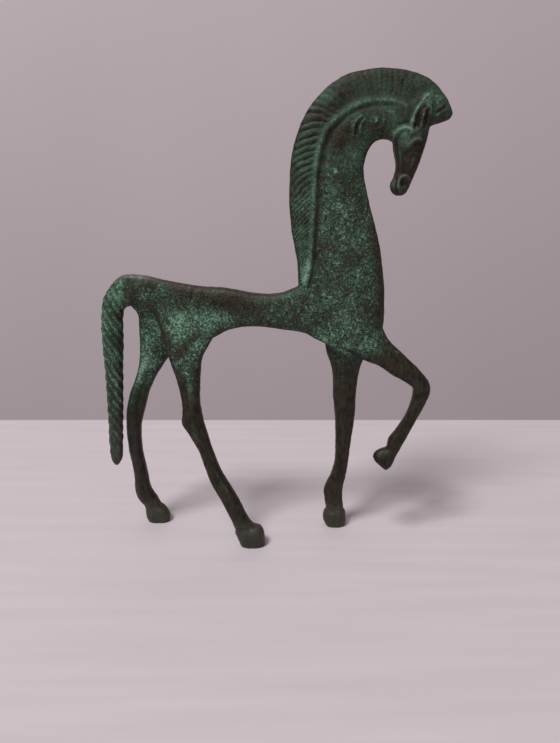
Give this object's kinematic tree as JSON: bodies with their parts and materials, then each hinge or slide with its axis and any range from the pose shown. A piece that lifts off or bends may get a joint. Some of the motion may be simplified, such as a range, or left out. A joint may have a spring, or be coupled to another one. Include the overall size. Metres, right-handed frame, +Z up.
{
  "type": "horse statuette",
  "caption": "Free-standing flat-cast bronze horse in the archaic Greek manner, with an arched neck, a helmet-like crest and one foreleg raised; rests on the flat soles of its hooves.",
  "frame": {"origin": "under the middle of the horse's box, on the surface that its hooves stand on", "axes": "+Z up; +X the way the horse faces; -Y the side of the hind leg that steps forward, called the near side"},
  "size_m": [0.1822, 0.0346, 0.2538],
  "materials": {
    "patinated_bronze": "sand-cast bronze under a dark brown and verdigris green patina, matt with a dull sheen on worn edges",
    "brazing_metal": "brazing bronze, filed flush"
  },
  "bodies": {
    "root": {"body_casting": "patinated_bronze", "tail_casting": "patinated_bronze", "near_hind_leg": "patinated_bronze", "far_hind_leg": "patinated_bronze", "standing_foreleg": "patinated_bronze", "raised_foreleg": "patinated_bronze", "tail_braze": "brazing_metal", "near_hind_braze": "brazing_metal", "far_hind_braze": "brazing_metal", "standing_foreleg_braze": "brazing_metal", "raised_foreleg_braze": "brazing_metal"}
  },
  "joints": []
}
